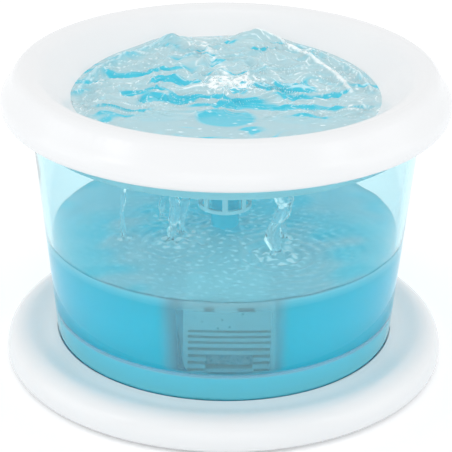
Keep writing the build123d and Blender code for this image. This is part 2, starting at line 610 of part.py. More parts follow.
def make_flow_slider():
    """Knob in front of the grille, a stem through its slot and a shutter behind that holds it in."""
    x = PUMP_OFFSET + SLIDER_REST
    stem_width = SLIDER_WIDTH - 2 * SEAT_GAP
    stem_height = SLOT_HEIGHT - 2 * SEAT_GAP
    knob_front = GRILLE_FRONT - SEAT_GAP - SLIDER_PROUD
    shutter_front = BOX_FRONT + SEAT_GAP
    slider = block(SLIDER_WIDTH, SLIDER_PROUD, SLIDER_HEIGHT, x, knob_front, SLOT_MIDDLE - SLIDER_HEIGHT / 2)
    slider += block(stem_width, shutter_front - GRILLE_FRONT + SEAT_GAP, stem_height, x,
                    GRILLE_FRONT - SEAT_GAP, SLOT_MIDDLE - stem_height / 2)
    return slider + block(stem_width, SHUTTER_THICKNESS, SHUTTER_DROP + stem_height / 2, x, shutter_front,
                          SLOT_MIDDLE - SHUTTER_DROP)


def main():
    stator = make_stator_core()
    coil = make_coil(stator)
    nodes = {
        "base_ring": make_base_ring(),
        "foot_pads": make_foot_pads(),
        "tank": make_tank(),
        "top_ring": make_top_ring(),
        "dish": make_dish(),
        "nozzle_cap": make_nozzle_cap(),
        "dish_sleeve": make_dish_sleeve(),
        "riser_tube": make_riser_tube(),
        "outlet_seal": make_outlet_seal(),
        "pump_body": make_pump_body(),
        "stator_core": stator,
        "coil": coil,
        "potting": make_potting(stator, coil),
        "cable_gland": make_cable_gland(),
        "rear_bush": make_rear_bush(),
        "front_bush": make_front_bush(),
        "impeller_cover": make_impeller_cover(),
        "shaft": make_shaft(),
        "impeller": make_impeller(),
        "rotor_magnet": make_rotor_magnet(),
        "filter_box": make_filter_box(),
        "foam_pad": make_foam_pad(),
        "carbon_pad": make_carbon_pad(),
        "intake_grille": make_intake_grille(),
        "flow_slider": make_flow_slider(),
        "suction_cups": make_suction_cups(),
    }
    os.makedirs("parts", exist_ok=True)
    for name, solid in nodes.items():
        shape = Compound(children=solid) if isinstance(solid, list) else solid
        export_step(shape, f"parts/{name}.step")


main()
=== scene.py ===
import math

import bpy
import numpy as np
from mathutils import Matrix


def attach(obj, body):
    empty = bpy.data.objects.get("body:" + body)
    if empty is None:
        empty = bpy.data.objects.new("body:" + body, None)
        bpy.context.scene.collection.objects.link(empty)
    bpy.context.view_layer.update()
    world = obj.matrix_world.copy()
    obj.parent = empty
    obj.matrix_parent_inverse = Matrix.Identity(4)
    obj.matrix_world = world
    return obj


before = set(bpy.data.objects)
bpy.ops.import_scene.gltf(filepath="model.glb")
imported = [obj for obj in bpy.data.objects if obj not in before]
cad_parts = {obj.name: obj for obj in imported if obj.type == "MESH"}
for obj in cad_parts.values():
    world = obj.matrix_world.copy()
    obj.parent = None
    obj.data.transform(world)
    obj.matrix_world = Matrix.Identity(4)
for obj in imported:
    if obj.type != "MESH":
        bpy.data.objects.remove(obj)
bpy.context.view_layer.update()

# Round pet fountain. Lengths are worked out in millimetres and put in the meshes in metres.
MM = 0.001

# --- water levels and the walls that hold the water ---------------------------------------------
OVERLAP = 0.5                       # water reaches this far into a wall, so that no film of air is left
TANK_LEVEL = 72.0
TANK_FLOOR = 16.0
TANK_FOOT = 86.19                   # tank's inner radius at its floor, and how it widens with height
TANK_WIDENING = 11.5 / 123.4
TANK_CORNER = 13.0
TANK_ROWS = (71.0, 66.0, 48.0, 32.0)            # heights of the water's rows down the tank's wall
FRONT = 1.5 * np.pi                 # direction that the pump unit's grille faces
CLEAR_ANGLE = 0.235, 0.37           # to each side of it, the water's skin goes from clear to aired
WATER_LINE_PALE = 0.35                     # pale band painted along the water line, at the top of the wall
CLIMB = 0.3, 1.6                    # how far the water climbs at the wall, and over what length
DISH_LEVEL = 143.6
DISH_FLOOR = 118.5
DISH_INSIDE = 75.5
DISH_CORNER = 9.5
DISH_STEP = 136.6, 136.1            # heights between which the water steps in to the dish's wall
FUNNEL_FOOT = (76.5, 141.2)
FUNNEL_HEAD = (90.5, 153.5)
EDGE_RADIUS = 76.0                  # where the surface's height sets how far up the funnel it reaches
DISH_UNDERSIDE = 116.0


# --- meshes ---------------------------------------------------------------------------------------
def put(name, data):
    """Object of a mesh, a lamp or a camera, in the scene."""
    piece = bpy.data.objects.new(name, data)
    bpy.context.scene.collection.objects.link(piece)
    return piece


def closed_shell(name, rows, fields=None):
    """Mesh of a grid of points whose columns run round an axis: a quad between each four neighbours, the
    last column joined to the first, and a fan to a pole, the mean of the row, at each end. Rows run from
    the top pole outwards and down, and columns run counterclockwise, so that the faces point outwards.
    fields are named numbers, one per point, kept as attributes for the material."""
    count, around, _ = rows.shape
    points = np.vstack([rows.reshape(-1, 3), rows[0].mean(0), rows[-1].mean(0)])
    row, column = np.meshgrid(np.arange(count - 1), np.arange(around), indexing="ij")
    right = (column + 1) % around
    quads = np.stack([row * around + column, (row + 1) * around + column,
                      (row + 1) * around + right, row * around + right], -1).reshape(-1, 4)
    turn = np.arange(around)
    after = (turn + 1) % around
    top = np.stack([np.full(around, count * around), turn, after], -1)
    last = (count - 1) * around
    bottom = np.stack([np.full(around, count * around + 1), last + after, last + turn], -1)
    mesh = bpy.data.meshes.new(name)
    mesh.from_pydata((points * MM).tolist(), [], quads.tolist() + top.tolist() + bottom.tolist())
    mesh.shade_smooth()
    for field, values in (fields or {}).items():
        ends = [values[0].mean(), values[-1].mean()]
        attribute = mesh.attributes.new(field, "FLOAT", "POINT")
        attribute.data.foreach_set("value", np.append(values.ravel(), ends).astype(np.float32))
    return put(name, mesh)


def beads(name, centres, radii):
    """Small balls in one mesh: each is an octahedron whose edges are halved once and whose eighteen points
    are pushed out to the sphere, scaled by its radius and moved to its centre."""
    corners = np.array([(1, 0, 0), (-1, 0, 0), (0, 1, 0), (0, -1, 0), (0, 0, 1), (0, 0, -1)], float)
    sides = [(4, 0, 2), (4, 2, 1), (4, 1, 3), (4, 3, 0), (5, 2, 0), (5, 1, 2), (5, 3, 1), (5, 0, 3)]
    points, middles, faces = list(corners), {}, []
    for a, b, c in sides:
        halves = []
        for pair in ((a, b), (b, c), (c, a)):
            key = tuple(sorted(pair))
            if key not in middles:
                middles[key] = len(points)
                halfway = corners[pair[0]] + corners[pair[1]]
                points.append(halfway / np.linalg.norm(halfway))
            halves.append(middles[key])
        ab, bc, ca = halves
        faces += [(a, ab, ca), (b, bc, ab), (c, ca, bc), (ab, bc, ca)]
    ball, faces = np.array(points), np.array(faces)
    placed = centres[:, None, :] + radii[:, None, None] * ball[None]
    offsets = (np.arange(len(centres)) * len(ball))[:, None, None]
    triangles = (faces[None] + offsets).reshape(-1, 3)
    mesh = bpy.data.meshes.new(name)
    mesh.from_pydata((placed.reshape(-1, 3) * MM).tolist(), [], triangles.tolist())
    mesh.shade_smooth()
    return put(name, mesh)


def waves(x, y, length, seed, count=24):
    """Plane waves added up: each is the cosine of place along a random direction, at about the given
    length, plus a random phase. The sum is scaled so that its spread is about one."""
    rng = np.random.default_rng(seed)
    heading = rng.uniform(0, 2 * np.pi, count)
    pace = 2 * np.pi / (length * rng.uniform(0.7, 1.4, count))
    phase = rng.uniform(0, 2 * np.pi, count)
    total = np.zeros_like(x)
    for way, rate, start in zip(heading, pace, phase):
        total += np.cos(rate * (x * np.cos(way) + y * np.sin(way)) + start)
    return total * math.sqrt(2 / count)


def hump(x, y, middle_x, middle_y, half_x, half_y, turn=0.0):
    """Bell: e to minus the squared distance from its middle, measured in half widths along turned axes."""
    c, s = math.cos(math.radians(turn)), math.sin(math.radians(turn))
    along = (x - middle_x) * c + (y - middle_y) * s
    across = (y - middle_y) * c - (x - middle_x) * s
    return np.exp(-(along / half_x) ** 2 - (across / half_y) ** 2)


def ridge_line(x, y, places, width):
    """Bell across the distance to a broken line through the places."""
    nearest = np.full_like(x, 1e9)
    for (ax, ay), (bx, by) in zip(places, places[1:]):
        dx, dy = bx - ax, by - ay
        share = np.clip(((x - ax) * dx + (y - ay) * dy) / (dx * dx + dy * dy), 0, 1)
        nearest = np.minimum(nearest, np.hypot(x - ax - share * dx, y - ay - share * dy))
    return np.exp(-(nearest / width) ** 2)


def step(value, low, high):
    """Smooth step: 0 below low, 1 above high, 3t2 - 2t3 between."""
    t = np.clip((value - low) / (high - low), 0, 1)
    return t * t * (3 - 2 * t)


# --- dish water -----------------------------------------------------------------------------------
SURGE_TOP = (-12.0, 74.0)           # where the surge's streaks run together, near the back wall
RIGHT_CREST = [(16, 76), (28, 72), (44, 50), (57, 26), (64, 4)]
RIGHT_WALL_CREST = [(40, 66), (58, 48), (70, 30), (75, 6)]
LEFT_CREST = [(-30, 71), (-46, 58), (-64, 38), (-73, 16), (-76, 0)]
FOAM_TRAIL = [(-12, 68), (-8, 44), (-1, 22), (3, 10)]
# Path of a painted band of deep cyan before the nozzle: painted light and shade of the moving water.
FRONT_BAND = [(-46, 1), (-16, -13), (10, -14), (40, -17)]


def dish_surface(x, y):
    """Height of the dish's water over its level, and where it is tinted or foaming. The height is a broad
    dome over the back of the dish, two crests on it, a boil over the nozzle, ridges along the crests'
    lines, and waves that die out towards the calm front. Tint is painted light and shade, not dye: deep
    cyan that stands for the colour moving water shows where its waves tilt and along its rising edge, and
    painted images of the nozzle cap and the drain holes seen through the calm water. It is smooth steps of
    bells: ragged bands before and beside the nozzle, specks behind it, the shores, and where the cap's blue
    and the holes show through the calm water. Foam is smooth steps of bells and waves: froth over the
    nozzle, a trail behind it, the crests, and a thin milkiness wherever there is no tint."""
    lively = step(y + 0.14 * np.abs(x) + 3 * waves(x, y, 22, 1), -34, -8)
    dome = 5.2 * hump(x, y, -2, 56, 62, 40)
    crests = 3.6 * hump(x, y, -30, 70, 11, 8) + 5.0 * hump(x, y, 16, 75, 13, 8)
    boil = 2.2 * hump(x, y, 4, 12, 20, 14)
    lines = (1.8 * ridge_line(x, y, RIGHT_CREST, 2.4) + 1.6 * ridge_line(x, y, RIGHT_WALL_CREST, 2.0)
             + 1.5 * ridge_line(x, y, LEFT_CREST, 2.6))
    turn = np.arctan2(y - SURGE_TOP[1], x - SURGE_TOP[0])
    away = np.hypot(x - SURGE_TOP[0], y - SURGE_TOP[1])
    fan = waves(turn * 42, away * 0.28, 7.5, 2)
    bent_x = x + 4 * waves(x, y, 30, 3)
    bent_y = y + 3 * waves(x, y, 26, 4)
    chop = 1 - np.abs(waves(bent_x * 0.55, bent_y * 1.2, 9, 5, 32))
    ripple = waves(bent_x * 0.7, bent_y * 1.5, 4.5, 6, 32)
    shore = 1 - step(np.hypot(x, y), 72, 79)
    height = (dome + crests + boil + lines) * (0.25 + 0.75 * lively)
    height += lively * shore * (0.55 * fan * step(away, 4, 24) + 0.8 * chop + 0.22 * ripple)
    height += (1 - lively) * 0.05 * waves(x, y, 18, 7)
    # Painted light and shade: deep cyan bands, specks and shores that stand for how the moving water looks,
    # not dye in it.
    bands = (ridge_line(x, y, FRONT_BAND, 9) + hump(x, y, -29, 18, 18, 8, -24)
             + hump(x, y, 36, 5, 24, 9, -8))
    specks = (hump(x, y, -11, 50, 4, 9, 20) + hump(x, y, -4, 38, 4, 8, 35) + hump(x, y, 19, 60, 10, 7)
              + 0.9 * hump(x, y, 3, 66, 5, 4))
    shores = ridge_line(x, y, LEFT_CREST, 6) + 0.6 * ridge_line(x, y, RIGHT_WALL_CREST, 4)
    painted_patches = waves(bent_x * 0.3, bent_y * 1.2, 13, 8, 32)
    # Painted images seen through the calm water: the cap's blue disc, placed 33 mm in front of the real cap,
    # and darker ovals of the drain holes.
    cap = hump(x, y, 0, -33, 14.8, 12)
    holes = hump(x, y, -35, -32, 17, 7) + hump(x, y, 37, -33, 18, 7)
    tint = np.clip(step(bands + 0.3 * painted_patches, 0.34, 0.72) + step(specks + 0.3 * painted_patches, 0.6, 0.9)
                   + 0.6 * shores + 0.34 * lively * step(painted_patches, -0.2, 1.3)
                   + 0.95 * step(cap, 0.26, 0.46) + 0.3 * step(holes, 0.2, 0.6), 0, 1)
    froth = waves(x * 0.8, y * 1.6, 5, 9, 32)
    trail = 0.45 * ridge_line(x, y, FOAM_TRAIL, 2.2) * step(froth, -1.0, 0.8)
    boiling = step(hump(x, y, 3, 9, 17, 8) + 0.22 * froth, 0.35, 0.9)
    foam = boiling + trail + 0.45 * step(chop, 0.86, 1.0) * lively + 0.5 * step(lines, 1.2, 1.8)
    foam = np.clip(foam + (0.34 + 0.06 * lively) * (1 - tint), 0, 1)
    return height, tint * (1 - foam), foam


def funnel_radius(height):
    """Inner radius of the ring's funnel at a height, straight between its foot and its head."""
    slope = (FUNNEL_HEAD[0] - FUNNEL_FOOT[0]) / (FUNNEL_HEAD[1] - FUNNEL_FOOT[1])
    return FUNNEL_FOOT[0] + slope * np.maximum(height - FUNNEL_FOOT[1], 0)


def rounded_floor(inside, floor, corner, steps=8):
    """Radii and heights down a wall's foot: a quarter circle from the wall to the floor."""
    angle = np.linspace(0, np.pi / 2, steps)
    return np.stack([inside - corner + corner * np.cos(angle), floor + corner - corner * np.sin(angle)], 1)


def round_rows(profile, turns):
    """Circles of the profile's radii and heights, as rows of points."""
    radius, height = profile[:, :1], profile[:, 1:]
    return np.stack([radius * np.cos(turns), radius * np.sin(turns), height + 0 * turns], -1)


def make_dish_water():
    """Surface rows: share of the way from the axis to the funnel's wall, which stands further out where the
    water stands higher. Then down the funnel and the dish's wall, and in along its floor."""
    turns = np.linspace(0, 2 * np.pi, 400, endpoint=False)
    share = np.linspace(0, 1, 150)[1:, None]
    edge_height = dish_surface(EDGE_RADIUS * np.cos(turns), EDGE_RADIUS * np.sin(turns))[0]
    reach = funnel_radius(DISH_LEVEL + edge_height) + OVERLAP
    x, y = share * reach * np.cos(turns), share * reach * np.sin(turns)
    height, tint, foam = dish_surface(x, y)
    surface = np.stack([x, y, DISH_LEVEL + height], -1)
    funnel, wall, floor = FUNNEL_FOOT[0] + OVERLAP, DISH_INSIDE + OVERLAP, DISH_FLOOR - OVERLAP
    foot = np.array([(funnel, FUNNEL_FOOT[1]), (funnel, DISH_STEP[0]), (wall, DISH_STEP[1])])
    corner = rounded_floor(wall, floor, DISH_CORNER)
    inwards = np.array([(50.0, floor), (20.0, floor), (2.0, floor)])
    under = round_rows(np.vstack([foot, corner, inwards]), turns)
    bare = np.zeros(under.shape[:2])
    # The surface's tint field carries its painted light and shade; the rows below carry none.
    return closed_shell("dish_water", np.vstack([surface, under]),
                        {"tint": np.vstack([tint, bare]), "foam": np.vstack([foam, bare])})


# --- tank water -----------------------------------------------------------------------------------
STREAMS = [(27.5, -39.0, 4.6), (-27.0, -24.0, 3.2), (-21.0, -14.0, 2.4), (31.0, -20.0, 2.6),
           (-33.0, 6.0, 2.0), (-52.0, -20.0, 1.6)]         # place and radius of each fall under the dish
RING_LENGTH = 6.5                   # from crest to crest of the rings round a fall


def tank_radius(height):
    """Radius of the tank's water at a height: the tank's inner wall, straight, and the overlap."""
    return TANK_FOOT + TANK_WIDENING * (height - TANK_FLOOR) + OVERLAP


def tank_surface(x, y):
    """Height of the tank's water over its level: rings that die out round each fall, a low swell, and fine
    ridges towards the middle. Tint is full but for pale patches with ragged edges, one before the middle
    and one behind it to each side. Foam is a ring round each fall, specks in the middle, and a little in
    the pale patches."""
    middle = hump(x, y, 0, -20, 52, 62)
    height = 0.22 * waves(x, y, 26, 11) + 0.30 * middle * (1 - np.abs(waves(x, y, 9, 12, 32)))
    foam = np.zeros_like(x)
    for place_x, place_y, size in STREAMS:
        away = np.hypot(x - place_x, y - place_y)
        height += 0.28 * size * np.cos(away * 2 * np.pi / RING_LENGTH) * np.exp(-away / (3.2 * size))
        foam += 0.9 * np.exp(-((away - 1.6 * size) / (0.8 * size)) ** 2)
    ragged = 5 * waves(x, y, 30, 13)
    before = step(56 - np.abs(x) + ragged, -14, 14) * step(-y - 8 + ragged, -24, 24)
    behind = 0.6 * step(20 - np.abs(np.abs(x) - 62) + ragged, -12, 12) * step(y - 8, -16, 16)
    pale = np.maximum(before, behind)
    froth = waves(x, y * 1.3, 5, 14, 32)
    foam = foam * step(froth, -0.3, 0.9) + 0.45 * middle * step(froth, 0.9, 1.5) + 0.3 * pale
    return height, np.clip(1 - 0.65 * pale, 0, 1), np.clip(foam, 0, 1)


def make_tank_water():
    """Surface rows from the axis to the tank's wall, where the water climbs a little, then down the wall
    and in along the floor. The wall's tint is weakest in front of the pump unit, by the angle from the
    front, and a pale band is painted along the water line."""
    turns = np.linspace(0, 2 * np.pi, 360, endpoint=False)
    reach = tank_radius(TANK_LEVEL)
    radius = np.linspace(0, reach, 140)[1:, None]
    x, y = radius * np.cos(turns), radius * np.sin(turns)
    height, tint, foam = tank_surface(x, y)
    height = height + CLIMB[0] * np.exp(-(reach - radius) / CLIMB[1])
    surface = np.stack([x, y, TANK_LEVEL + height], -1)
    wall = np.array([(tank_radius(h), h) for h in TANK_ROWS])
    floor = TANK_FLOOR - OVERLAP
    corner = rounded_floor(TANK_FOOT + OVERLAP, floor, TANK_CORNER)
    inwards = np.array([(50.0, floor), (2.0, floor)])
    under = round_rows(np.vstack([wall, corner, inwards]), turns)
    row = np.arange(len(under))
    clear_front = 1 - step(np.abs(turns - FRONT), *CLEAR_ANGLE)
    on_wall = np.where(row < len(wall), 1.0, 0.0)[:, None]
    # Painted pale band along the water line, given as foam on the wall's top row.
    at_line = np.where(row == 0, WATER_LINE_PALE, 0.0)[:, None] + 0 * turns
    return closed_shell("tank_water", np.vstack([surface, under]),
                        {"tint": np.vstack([tint, 1 - on_wall * clear_front]),
                         "foam": np.vstack([foam, at_line])})


def make_fall(index, place_x, place_y, size):
    """One fall from the dish's drains to the tank's water: a tube whose radius narrows as the water speeds
    up, widens again where it lands, and swells and thins by waves. Its outline is lobed, and it sways."""
    height = np.linspace(DISH_UNDERSIDE - 0.2, TANK_LEVEL - 1, 60)[:, None]
    turns = np.linspace(0, 2 * np.pi, 24, endpoint=False)[None]
    fallen = (DISH_UNDERSIDE - height) / (DISH_UNDERSIDE - TANK_LEVEL)
    level = 0 * height
    swell = 0.16 * waves(height, level, 11, 30 + index) + 0.08 * waves(height, level, 4, 40 + index)
    lobes = 0.14 * np.cos(3 * turns + 0.12 * height) + 0.08 * np.cos(5 * turns - 0.2 * height)
    radius = size * (0.95 - 0.35 * fallen + 0.25 * step(fallen, 0.93, 1)) * (1 + swell + lobes)
    sway = 0.35 * size * waves(height, level, 34, 50 + index)
    rows = np.stack([place_x + sway + radius * np.cos(turns), place_y + radius * np.sin(turns),
                     height + 0 * turns], -1)
    return closed_shell(f"fall_{index + 1}", rows)


NEAR_FALLS, BY_GRILLE = 200, 60     # bubbles drawn in each place
BUBBLE_REACH = 84.0                 # radius beyond which bubbles are left out, clear of the wall
DROPS = 170


def make_tank_bubbles():
    """Air bubbles: most at normal random distances from a fall and just under the surface, and some spread
    evenly between the grille and the front wall."""
    rng = np.random.default_rng(21)
    pick = np.array(STREAMS)[rng.integers(0, len(STREAMS), NEAR_FALLS)]
    spread = rng.normal(0, 7.0, (NEAR_FALLS, 2))
    near = np.column_stack([pick[:, :2] + spread, TANK_LEVEL - np.abs(rng.normal(0, 2.0, NEAR_FALLS))])
    low = np.column_stack([rng.uniform(-42, 42, BY_GRILLE), rng.uniform(-80, -55, BY_GRILLE),
                           rng.uniform(50, 70, BY_GRILLE)])
    centres = np.vstack([near, low])
    centres = centres[np.hypot(centres[:, 0], centres[:, 1]) < BUBBLE_REACH]
    return beads("tank_bubbles", centres, rng.uniform(0.25, 0.75, len(centres)))


def make_spray():
    """Drops where the dish's water boils over the nozzle: normal random places round the boil, at the
    water's own height give or take a little."""
    rng = np.random.default_rng(22)
    x = rng.normal(9, 12, DROPS)
    y = rng.normal(9, 5, DROPS)
    height = dish_surface(x, y)[0]
    centres = np.column_stack([x, y, DISH_LEVEL + height + rng.uniform(-0.2, 0.7, DROPS)])
    return beads("dish_froth", centres, rng.uniform(0.3, 0.85, DROPS))


# --- materials ------------------------------------------------------------------------------------
def linear(code):
    """sRGB hex to linear red, green, blue and full alpha."""
    parts = np.array([int(code[i:i + 2], 16) for i in (0, 2, 4)]) / 255
    value = np.where(parts <= 0.04045, parts / 12.92, ((parts + 0.055) / 1.055) ** 2.4)
    return (*(float(v) for v in value), 1.0)


def add(tree, kind, sockets=None, **settings):
    """Adds one node. settings are its own properties; sockets gives inputs a value or another's output."""
    node = tree.nodes.new(kind)
    for name, value in settings.items():
        setattr(node, name, value)
    for name, value in (sockets or {}).items():
        if isinstance(value, bpy.types.NodeSocket):
            tree.links.new(value, node.inputs[name])
        else:
            node.inputs[name].default_value = value
    return node


def bare_tree(owner):
    """Node tree of a material or a world, with nothing in it."""
    owner.use_nodes = True
    owner.node_tree.nodes.clear()
    return owner.node_tree


def new_material(name):
    """Empty material, its tree, and the output that gives the place on the piece in metres."""
    material = bpy.data.materials.new(name)
    tree = bare_tree(material)
    return material, tree, add(tree, "ShaderNodeTexCoord").outputs["Object"]


def per_metre(size_mm):
    """Scale of a noise whose features are about a size in millimetres."""
    return 1 / (size_mm * MM)


MIX_A, MIX_B = 6, 7                 # colour inputs of a Mix node
FOOT_TOP = 28.0, 31.0               # heights over which clear plastic leaves its foot's look for its own
SAN_ROUGHNESS = 0.03
FROTH_WHITE = "F7FBFC"
FROTH_COVER = 0.8                   # share of light that full froth scatters
FROTH_ROUGHNESS = 0.18


def blend(tree, share, first, second):
    """Colour that goes from the first to the second as the share goes from 0 to 1."""
    mix = add(tree, "ShaderNodeMix", {0: share, MIX_A: first, MIX_B: second}, data_type="RGBA")
    return mix.outputs[2]


def moulded(name, light, dark, roughness, grain_mm, grain_depth, ior=1.54):
    """Opaque injection-moulded plastic or rubber: an even colour that drifts a little over the piece, a
    faint moulded grain, and gloss that varies where the mould was polished less."""
    material, tree, place = new_material(name)
    drift = add(tree, "ShaderNodeTexNoise", {"Vector": place, "Scale": per_metre(40), "Detail": 2.0})
    colour = blend(tree, drift.outputs["Fac"], linear(light), linear(dark))
    grain = add(tree, "ShaderNodeTexNoise", {"Vector": place, "Scale": per_metre(grain_mm), "Detail": 4.0})
    gloss = add(tree, "ShaderNodeMapRange", {"Value": grain.outputs["Fac"], "To Min": roughness * 0.85,
                                            "To Max": roughness * 1.2})
    bump = add(tree, "ShaderNodeBump", {"Height": grain.outputs["Fac"], "Distance": grain_depth * MM,
                                       "Strength": 0.5})
    shader = add(tree, "ShaderNodeBsdfPrincipled", {"Base Color": colour,
                                                   "Roughness": gloss.outputs["Result"], "IOR": ior,
                                                   "Normal": bump.outputs["Normal"]})
    add(tree, "ShaderNodeOutputMaterial", {"Surface": shader.outputs["BSDF"]})
    return material


def clear_plastic(name, skin, depth_colour, density, clearness, foot_skin, foot_clearness):
    """Transparent SAN: tinted right through, so that it is pale face on and deep at its edges, with the slow
    waviness that a mould leaves in its faces. What isn't clear of it scatters light in the skin's colour.
    The thick foot, below FOOT_TOP, has a skin and a clearness of its own."""
    material, tree, place = new_material(name)
    low, high = FOOT_TOP
    height = add(tree, "ShaderNodeSeparateXYZ", {"Vector": place})
    rise = add(tree, "ShaderNodeMapRange", {"Value": height.outputs["Z"], "From Min": low * MM,
                                           "From Max": high * MM})
    colour = blend(tree, rise.outputs["Result"], linear(foot_skin), linear(skin))
    clear = add(tree, "ShaderNodeMapRange", {"Value": rise.outputs["Result"], "To Min": foot_clearness,
                                            "To Max": clearness})
    flow = add(tree, "ShaderNodeTexNoise", {"Vector": place, "Scale": per_metre(45), "Detail": 1.0})
    bump = add(tree, "ShaderNodeBump", {"Height": flow.outputs["Fac"], "Distance": 0.6 * MM,
                                       "Strength": 0.25})
    haze = add(tree, "ShaderNodeTexNoise", {"Vector": place, "Scale": per_metre(9), "Detail": 3.0})
    gloss = add(tree, "ShaderNodeMapRange", {"Value": haze.outputs["Fac"], "To Min": SAN_ROUGHNESS * 0.6,
                                            "To Max": SAN_ROUGHNESS * 1.4})
    shader = add(tree, "ShaderNodeBsdfPrincipled", {"Base Color": colour,
                                                   "Transmission Weight": clear.outputs["Result"],
                                                   "IOR": 1.5, "Roughness": gloss.outputs["Result"],
                                                   "Normal": bump.outputs["Normal"]})
    tint = add(tree, "ShaderNodeVolumeAbsorption", {"Color": linear(depth_colour), "Density": density})
    add(tree, "ShaderNodeOutputMaterial", {"Surface": shader.outputs["BSDF"],
                                          "Volume": tint.outputs["Volume"]})
    return material


def aired_water(name, pale, deep, body, density, murk=0.0, opaque=0.0, ripple=0.0):
    """Dyed water full of fine air. The tint attribute takes its skin from pale to deep, and the foam
    attribute turns it to white froth. In the dish the tint is painted light and shade: the deep cyan of
    moving water, and the cap and holes seen through it. Murk is the share of light that the skin scatters
    anyway, and opaque what full tint adds to that share."""
    material, tree, place = new_material(name)
    tint = add(tree, "ShaderNodeAttribute", attribute_name="tint").outputs["Fac"]
    foam = add(tree, "ShaderNodeAttribute", attribute_name="foam").outputs["Fac"]
    # Skin colour from pale to deep by the tint attribute: the dye's colour, and in the dish painted light and
    # shade.
    dye_and_painted_light = blend(tree, tint, linear(pale), linear(deep))
    colour = blend(tree, foam, dye_and_painted_light, linear(FROTH_WHITE))
    milky = add(tree, "ShaderNodeMath", {0: tint, 1: opaque, 2: murk}, operation="MULTIPLY_ADD")
    cover = add(tree, "ShaderNodeMath", {0: foam, 1: FROTH_COVER, 2: milky.outputs[0]},
                operation="MULTIPLY_ADD", use_clamp=True)
    clear = add(tree, "ShaderNodeMath", {0: 1.0, 1: cover.outputs[0]}, operation="SUBTRACT", use_clamp=True)
    rough = add(tree, "ShaderNodeMapRange", {"Value": foam, "To Min": 0.0, "To Max": FROTH_ROUGHNESS})
    fine = add(tree, "ShaderNodeTexNoise", {"Vector": place, "Scale": per_metre(3), "Detail": 3.0})
    bump = add(tree, "ShaderNodeBump", {"Height": fine.outputs["Fac"], "Distance": ripple * MM,
                                       "Strength": 1.0})
    shader = add(tree, "ShaderNodeBsdfPrincipled", {"Base Color": colour, "IOR": 1.333,
                                                   "Transmission Weight": clear.outputs[0],
                                                   "Roughness": rough.outputs["Result"],
                                                   "Normal": bump.outputs["Normal"]})
    dye = add(tree, "ShaderNodeVolumeAbsorption", {"Color": linear(body), "Density": density})
    add(tree, "ShaderNodeOutputMaterial", {"Surface": shader.outputs["BSDF"],
                                          "Volume": dye.outputs["Volume"]})
    return material


WAVE_RATE = 20                      # radians that a band texture turns over a length of one


def laid_in_lines(name, light, dark, radian_mm, axis, roughness):
    """Metal in thin layers or turns side by side: bands across one axis, 2 pi times the given length apart,
    which is far coarser than real sheets or wires. Each has its own shade, with a groove between."""
    material, tree, place = new_material(name)
    bands = add(tree, "ShaderNodeTexWave", {"Vector": place, "Scale": per_metre(radian_mm) / WAVE_RATE,
                                           "Detail": 0.0, "Distortion": 0.0},
                wave_type="BANDS", bands_direction=axis)
    shade = add(tree, "ShaderNodeTexNoise", {"Vector": place, "Scale": per_metre(2), "Detail": 2.0})
    mixed = add(tree, "ShaderNodeMath", {0: bands.outputs["Fac"], 1: shade.outputs["Fac"]},
                operation="MULTIPLY")
    colour = blend(tree, mixed.outputs[0], linear(dark), linear(light))
    bump = add(tree, "ShaderNodeBump", {"Height": bands.outputs["Fac"], "Distance": 0.1 * MM,
                                       "Strength": 0.6})
    shader = add(tree, "ShaderNodeBsdfPrincipled", {"Base Color": colour, "Metallic": 1.0,
                                                   "Roughness": roughness, "Normal": bump.outputs["Normal"]})
    add(tree, "ShaderNodeOutputMaterial", {"Surface": shader.outputs["BSDF"]})
    return material


def cellular(name, light, dark, cell_mm, depth_mm, roughness):
    """Open foam or packed grains: cells of the pore's or grain's size, dark in the middle and light at their
    walls. In the open foam the dark middles are painted shade in the pores."""
    material, tree, place = new_material(name)
    cells = add(tree, "ShaderNodeTexVoronoi", {"Vector": place, "Scale": per_metre(cell_mm)})
    distance = cells.outputs["Distance"]
    # In the open foam, the dark cell middles are painted shade in the pores.
    colour = blend(tree, distance, linear(dark), linear(light))
    bump = add(tree, "ShaderNodeBump", {"Height": distance, "Distance": depth_mm * MM, "Strength": 0.8})
    shader = add(tree, "ShaderNodeBsdfPrincipled", {"Base Color": colour, "Roughness": roughness,
                                                   "Normal": bump.outputs["Normal"]})
    add(tree, "ShaderNodeOutputMaterial", {"Surface": shader.outputs["BSDF"]})
    return material


# White ABS: bright, slightly cool, glossy with soft-edged highlights.
white_abs = moulded("moulded_white_abs", "ECEDEE", "E8EAEC", 0.24, 1.2, 0.02)
# Pump's ABS: a brighter white, its gloss broken by a fine satin grain.
pump_abs = moulded("satin_white_abs", "FAFBFC", "F6F8F9", 0.42, 0.6, 0.05)
# Moulded SAN: sharp highlights, pale face on and deep at the edges. Deeper for the cap and the riser.
tank_san = clear_plastic("clear_blue_san", "F0F9FB", "00EEFA", 42.0, 1.0, "70E2F5", 0.4)
dish_san = clear_plastic("clear_blue_dish_san", "CDF6FC", "00F8FF", 24.0, 0.25, "CDF6FC", 0.25)
deep_san = clear_plastic("deep_blue_san", "30E4F8", "00F4FF", 40.0, 0.25, "30E4F8", 0.25)
# Soft EPDM of pads, cups, seal, gland and bushes: mid grey, matt, with a dusty grain.
grey_epdm = moulded("moulded_grey_epdm", "8E9296", "7D8185", 0.62, 0.9, 0.06, 1.52)
# Motor: punched steel sheets seen as thin grey bands, varnished copper wire as glossy orange lines, and
# cast black resin, smooth and a little wavy.
silicon_steel = laid_in_lines("stacked_silicon_steel", "9EA1A6", "55585E", 1.0, "Y", 0.38)
enamelled_copper = laid_in_lines("wound_enamelled_copper", "C8754A", "7A3A1C", 0.8, "X", 0.3)
potting_resin = moulded("cast_black_epoxy", "2B2B2E", "212124", 0.28, 6.0, 0.05)
